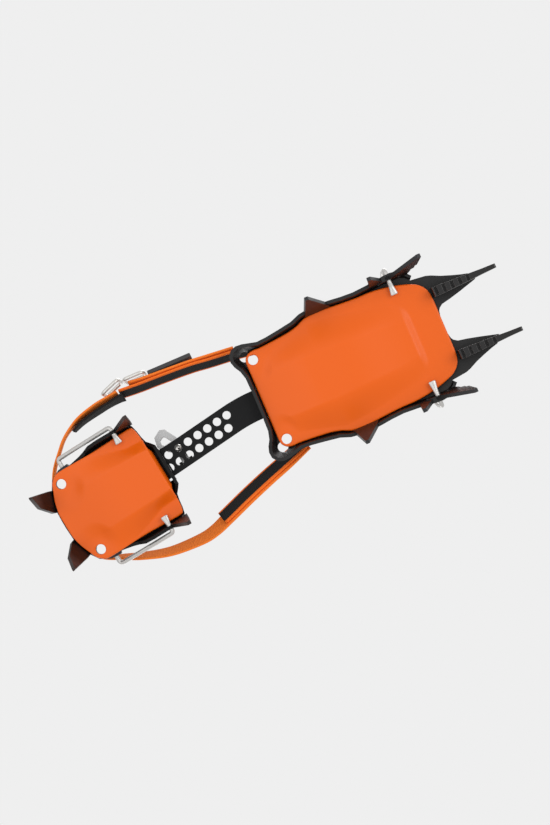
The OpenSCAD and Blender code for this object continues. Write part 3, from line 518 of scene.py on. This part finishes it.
def webbing(name, ground, edge=None):
    """Woven finish: a sine of the length makes ribs for bump and shade, and where the distance from the
    middle of the width passes EDGE_FROM, there is the edge colour."""
    m = bpy.data.materials.new(name)
    m.use_nodes = True
    tree, shader = m.node_tree, m.node_tree.nodes["Principled BSDF"]
    shader.inputs["Roughness"].default_value = WEB_ROUGH
    shader.inputs["Specular IOR Level"].default_value = WEB_SPECULAR
    new, link = tree.nodes.new, tree.links.new
    uv = new("ShaderNodeUVMap")
    uv.uv_map = UV_NAME
    split = new("ShaderNodeSeparateXYZ")
    link(uv.outputs["UV"], split.inputs["Vector"])
    along, across = split.outputs["X"], split.outputs["Y"]

    def calc(operation, *values):
        node = new("ShaderNodeMath")
        node.operation = operation
        for socket, value in zip(node.inputs, values):
            if hasattr(value, "links"):
                link(value, socket)
            else:
                socket.default_value = value
        return node.outputs["Value"]

    rib = calc("SINE", calc("MULTIPLY", along, 2 * math.pi / RIB_PITCH))
    thread = calc("SINE", calc("MULTIPLY", across, 2 * math.pi * THREADS_ACROSS))
    shade = new("ShaderNodeMix")
    shade.data_type = "RGBA"
    shade.inputs["A"].default_value = (*(RIB_SHADE * np.array(ground)), 1)
    shade.inputs["B"].default_value = (*ground, 1)
    link(calc("MULTIPLY_ADD", rib, 0.5, 0.5), shade.inputs["Factor"])
    colour = shade.outputs["Result"]
    if edge is not None:
        border = new("ShaderNodeMix")
        border.data_type = "RGBA"
        from_middle = calc("ABSOLUTE", calc("SUBTRACT", across, 0.5))
        link(calc("GREATER_THAN", from_middle, EDGE_FROM), border.inputs["Factor"])
        link(colour, border.inputs["A"])
        border.inputs["B"].default_value = (*edge, 1)
        colour = border.outputs["Result"]
    link(colour, shader.inputs["Base Color"])
    bump = new("ShaderNodeBump")
    bump.inputs["Strength"].default_value = WEAVE_STRENGTH
    bump.inputs["Distance"].default_value = WEAVE_HEIGHT
    link(calc("ADD", rib, calc("MULTIPLY", thread, THREAD_SHARE)), bump.inputs["Height"])
    link(bump.outputs["Normal"], shader.inputs["Normal"])
    return m


orange_web = webbing("orange webbing", linear(255, 133, 50))
edged_web = webbing("dark webbing with orange edges", linear(36, 35, 35), edge=linear(246, 116, 40))
dark_web = webbing("dark webbing", linear(36, 35, 35))
print("webbing finishes", [m.name for m in (orange_web, edged_web, dark_web)])

# %% band
STRAP_W, STRAP_T = 15.0, 1.6
STRAP_LOW = 4.0
EDGE_STEPS = 9
FACE_STEPS = 8


def band_profile():
    """Outline of the webbing's end, (thickness, width): a half circle round each edge and straight faces."""
    half_t, straight = STRAP_T / 2, STRAP_W / 2 - STRAP_T / 2
    h = np.linspace(0, np.pi, EDGE_STEPS)
    low = np.stack([np.cos(h) * half_t, -np.sin(h) * half_t - straight], 1)
    rows = np.linspace(-straight, straight, FACE_STEPS)[1:-1]
    left = np.stack([np.full(len(rows), -half_t), rows], 1)
    right = np.stack([np.full(len(rows), half_t), rows[::-1]], 1)
    return np.vstack([low, left, -low, right])


def band(route, side, count):
    """The profile carried along a route of (x, y, lift, lean): the lower edge is at STRAP_LOW + lift, and the
    upper edge leans by lean millimetres to the left of the route for side 1."""
    r = smooth_path(route, count)
    d = unit(np.gradient(r[:, :2], axis=0))
    lean = side * r[:, 3:4] / STRAP_W
    up = np.sqrt(1 - lean**2)
    profile = band_profile()
    m = len(profile)
    a, b = profile[None, :, 0], profile[None, :, 1]
    left = a * up + b * lean
    z = STRAP_LOW + r[:, 2:3] + STRAP_W / 2 * up + b * up - a * lean
    points = np.stack([r[:, 0:1] - d[:, 1:2] * left, r[:, 1:2] + d[:, 0:1] * left, z], -1)
    s = run_length(r[:, :2])
    uv = np.stack([np.repeat(s[:, None] * MM, m, 1), np.repeat(b / STRAP_W + 0.5, count, 0)], -1)
    start = list(range(m))
    end = [(count - 1) * m + k for k in start]
    faces = [*grid_faces(count, m, close_cols=True)[:, ::-1].tolist(), start, end[::-1]]
    return points.reshape(-1, 3), faces, uv.reshape(-1, 2), s[-1]


print("webbing profile of", len(band_profile()), "points")

# %% straps
FEWEST_RINGS, RINGS_PER_POINT = 30, 6
straps = {
    "strap_back": (orange_web, 1, [
        (11.2, 37.9, 0, 8), (-5.4, 44.4, 0, 8), (-20.8, 49.4, 0, 8.4), (-39, 56, 0, 8.4), (-57, 63, 0.4, 8.4),
        (-70, 68, 1, 7.6), (-82, 70, 1.6, 6.8), (-104, 69.4, 2.4, 5.2), (-124, 64.5, 3.4, 3.6),
        (-136, 60, 5.2, 2), (-143, 58, 6.3, 0.6), (-149, 55, 6.3, 0), (-154, 49.5, 6.3, 0),
        (-158.5, 38, 6.3, 0), (-161.5, 24.5, 6.3, 0), (-162.5, 10.5, 6.3, 0), (-161.3, -2, 6.3, 0),
        (-158, -10.6, 6.3, 0), (-154, -17, 6.3, 0), (-148, -24, 5.4, 0), (-142, -30.5, 4.6, 0),
        (-134, -36, 3.8, 0.8), (-125, -39.5, 3, 3.2), (-112, -42.2, 2.2, 5), (-103, -43.4, 1.8, 5),
        (-94.7, -44.5, 1.6, 5)]),
    "strap_front": (edged_web, -1, [
        (-62.5, 62.4, 0.6, 8.2), (-57.9, 60.7, 0.4, 8.4), (-39.9, 53.7, 0, 8.4), (-21, 47, 0, 8.4),
        (-4, 41.4, 0, 8), (10, 36, 0, 8), (24, 26, 0, 8), (32, 14, 0, 8), (35, 0, 0, 8), (32, -14, 0, 8),
        (24, -26, 0, 8), (10, -34.2, 0, 6.4), (-6, -37.3, 0, 6), (-28, -39.6, 0.2, 6), (-42, -41.3, 0.5, 6),
        (-64, -42.5, 1, 6), (-78, -43, 1.2, 6), (-87, -43.6, 1.4, 6), (-93.6, -44.2, 1.5, 5.6)]),
    "strap_tail": (orange_web, 1, [
        (-85.5, -46.8, 1.4, 6), (-78, -45.8, 1.2, 6), (-64, -44.9, 1, 6), (-42, -43.6, 0.5, 6),
        (-28, -42.2, 0.2, 6), (-9.5, -40.3, 0, 6)]),
    "strap_fold": (dark_web, 1, [
        (-133.2, -33, 3.8, 0.8), (-124.3, -36.4, 3, 2), (-111.6, -39.1, 2.2, 3), (-103, -40.4, 1.8, 3),
        (-95.4, -41.3, 1.6, 4.2), (-91.8, -41.4, 1.5, 5.2)]),
}
for node, (material, side, route) in straps.items():
    points, faces, uv, length = band(route, side, max(FEWEST_RINGS, RINGS_PER_POINT * len(route)))
    follows_cradle = node in ("strap_back", "strap_fold")
    piece = put(node + "_webbing", points, faces, material, None if follows_cradle else "heel", node, uv)
    if follows_cradle:
        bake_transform(piece)
    print(node, "cut length", round(length, 1), "mm")

# %% [markdown]
# ## Buckle rings
# The buckle is two rectangular rings of round wire that stand on edge and lean a little. Bevelling a square
# curve would leave mitred corners, so each ring is a circle carried round a superellipse, whose corners are
# rounded as bent wire is.

# %% buckle
RING_LENGTH, RING_HEIGHT, RING_WIRE = 17.0, 21.2, 2.6
RING_LEAN = 8
RING_POWER = 6
RING_COUNT, RING_SIDES = 96, 14
ACROSS = np.array([0, 1, 0])


def wire_ring(x, y, lift, turn):
    """Tube round a superellipse of power RING_POWER in the XZ plane, leaned about X, turned about Z and set
    at half the strap's width above its lower edge."""
    k = np.linspace(0, 2 * np.pi, RING_COUNT, endpoint=False)
    a, b = (RING_LENGTH - RING_WIRE) / 2, (RING_HEIGHT - RING_WIRE) / 2
    p = np.stack([a * np.sign(np.cos(k)) * np.abs(np.cos(k)) ** (2 / RING_POWER), 0 * k,
                  b * np.sign(np.sin(k)) * np.abs(np.sin(k)) ** (2 / RING_POWER)], 1)
    p = even_path(np.vstack([p, p[:1]]), RING_COUNT + 1)[:-1]
    n = np.cross(unit(np.roll(p, -1, 0) - np.roll(p, 1, 0)), ACROSS)
    q = np.linspace(0, 2 * np.pi, RING_SIDES, endpoint=False)[None, :, None]
    points = p[:, None] + RING_WIRE / 2 * (np.cos(q) * n[:, None] + np.sin(q) * ACROSS)
    leaned_y, leaned_z = turned(points[..., 1], points[..., 2], -RING_LEAN)
    turned_x, turned_y = turned(points[..., 0], leaned_y, turn)
    out = np.stack([turned_x + x, turned_y + y, leaned_z + STRAP_LOW + lift + STRAP_W / 2], -1)
    return out.reshape(-1, 3), grid_faces(RING_COUNT, RING_SIDES, True, True)[:, ::-1]


ring_spots = {"buckle_frame": (-97.2, -50.2, 1.7, -20.6), "buckle_ring": (-79.8, -50.8, 1.3, 0)}
for node, spot in ring_spots.items():
    points, faces = wire_ring(*spot)
    put(node + "_wire", points, faces, bright_steel, "heel", node)
print("buckle rings of", len(faces), "faces each")

# %% [markdown]
# ## Floor, light and camera
# The crampon stands on its points on a pale floor, but the camera looks up from underneath. The floor could
# be hidden for that view, but one scene serves all views. So its material shows only its top to the camera:
# from below the camera looks through it, and it never blocks the lamps. The background is the same pale grey,
# and large soft lamps stand above and below.

# %% floor
PALE = linear(239, 239, 239)
FLOOR_HALF = 3.0
FLOOR_GAP = 0.0004


def top_only(material):
    """Transparent to every ray but the camera's, and to that one from below: the mix is Is Camera Ray times
    one less Backfacing."""
    tree = material.node_tree
    new, link = tree.nodes.new, tree.links.new
    rays, side = new("ShaderNodeLightPath"), new("ShaderNodeNewGeometry")
    facing, seen = new("ShaderNodeMath"), new("ShaderNodeMath")
    facing.operation, seen.operation = "SUBTRACT", "MULTIPLY"
    facing.inputs[0].default_value = 1
    clear, mixed = new("ShaderNodeBsdfTransparent"), new("ShaderNodeMixShader")
    link(side.outputs["Backfacing"], facing.inputs[1])
    link(rays.outputs["Is Camera Ray"], seen.inputs[0])
    link(facing.outputs["Value"], seen.inputs[1])
    link(seen.outputs["Value"], mixed.inputs["Fac"])
    link(clear.outputs["BSDF"], mixed.inputs[1])
    link(tree.nodes["Principled BSDF"].outputs["BSDF"], mixed.inputs[2])
    link(mixed.outputs["Shader"], tree.nodes["Material Output"].inputs["Surface"])
    return material


floor_level = float(np.array(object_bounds())[0, 2]) - FLOOR_GAP
floor_mesh = bpy.data.meshes.new("floor")
corner_signs = ((-1, -1), (1, -1), (1, 1), (-1, 1))
floor_corners = [(x * FLOOR_HALF, y * FLOOR_HALF, floor_level) for x, y in corner_signs]
floor_mesh.from_pydata(floor_corners, [], [(0, 1, 2, 3)])
floor_mesh.materials.append(top_only(finish("pale floor", PALE, 0.9, grain=4, specular=0.1)))
floor = bpy.data.objects.new("floor", floor_mesh)
bpy.context.scene.collection.objects.link(floor)
floor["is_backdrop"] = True
print("floor at", round(floor_level, 4), "m")

# %% world
AMBIENT = 0.64
world = bpy.data.worlds.new("pale studio")
bpy.context.scene.world = world
world.use_nodes = True
new, link = world.node_tree.nodes.new, world.node_tree.links.new
ambient, shown = world.node_tree.nodes["Background"], new("ShaderNodeBackground")
ambient.inputs["Color"].default_value = (1, 1, 1, 1)
ambient.inputs["Strength"].default_value = AMBIENT
shown.inputs["Color"].default_value = (*PALE, 1)
rays = new("ShaderNodeLightPath")
first, second = new("ShaderNodeMath"), new("ShaderNodeMath")
first.operation = second.operation = "MAXIMUM"
mixed = new("ShaderNodeMixShader")
link(rays.outputs["Is Camera Ray"], first.inputs[0])
link(rays.outputs["Is Glossy Ray"], first.inputs[1])
link(first.outputs["Value"], second.inputs[0])
link(rays.outputs["Is Transmission Ray"], second.inputs[1])
link(second.outputs["Value"], mixed.inputs["Fac"])
link(ambient.outputs["Background"], mixed.inputs[1])
link(shown.outputs["Background"], mixed.inputs[2])
link(mixed.outputs["Shader"], world.node_tree.nodes["World Output"].inputs["Surface"])
print("world light", AMBIENT)


# %% lamps
def lamp(name, place, size, watts):
    """Square soft lamp at a place, turned to face the origin; metres and watts."""
    data = bpy.data.lights.new(name, "AREA")
    data.size = size
    data.energy = watts
    obj = bpy.data.objects.new(name, data)
    z = unit(np.array(place, float))
    x = unit(np.cross((0, 1, 0), z))
    m = np.eye(4)
    m[:3, 0], m[:3, 1], m[:3, 2], m[:3, 3] = x, np.cross(z, x), z, place
    obj.matrix_world = Matrix(m.tolist())
    bpy.context.scene.collection.objects.link(obj)


lamp("below_front", (0.88, -0.12, -0.98), size=0.8, watts=5.6)
lamp("below_rear", (-0.5, -0.3, -1.2), size=1.2, watts=4.5)
lamp("above_key", (0.5, -0.7, 1.2), size=1.0, watts=10)
lamp("above_fill", (-0.6, 0.8, 1.0), size=1.0, watts=5)
print("lamps", len(bpy.data.lights))

# %% camera
# The camera looks straight up, with its picture turned by the angle whose cosine and sine are given.
CAMERA_AT = (-0.0003, 0.0096, -1.5)
TURN_COS, TURN_SIN = 0.9191, 0.3939
SENSOR, LENS = 36, 95.6
camera = bpy.data.objects.new("camera", bpy.data.cameras.new("camera"))
camera.data.sensor_fit = "VERTICAL"
camera.data.sensor_height = SENSOR
camera.data.lens = LENS
camera.matrix_world = Matrix((
    (TURN_COS, TURN_SIN, 0, CAMERA_AT[0]),
    (TURN_SIN, -TURN_COS, 0, CAMERA_AT[1]),
    (0, 0, -1, CAMERA_AT[2]),
    (0, 0, 0, 1)))
bpy.context.scene.collection.objects.link(camera)
bpy.context.scene.camera = camera
bpy.context.scene.view_settings.view_transform = "Standard"
print("camera", -CAMERA_AT[2], "m below the sole, lens", LENS, "mm")

# %% [markdown]
# ## Size
# Boots and bolts fit the solids, so the new surfaces may not make the crampon bigger. Its size could be
# judged from a view, but numbers are surer: the box of the solids, kept from the start, is written beside the
# box of the finished pieces, and the most that any side stands proud is printed.

# %% size and finish
visual_box = np.array(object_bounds())
proud = np.concatenate([cad_box[0] - visual_box[0], visual_box[1] - cad_box[1]])
print("finished box", np.round(visual_box, 4).tolist(), "most proud", round(float(proud.max()) / MM, 3), "mm")
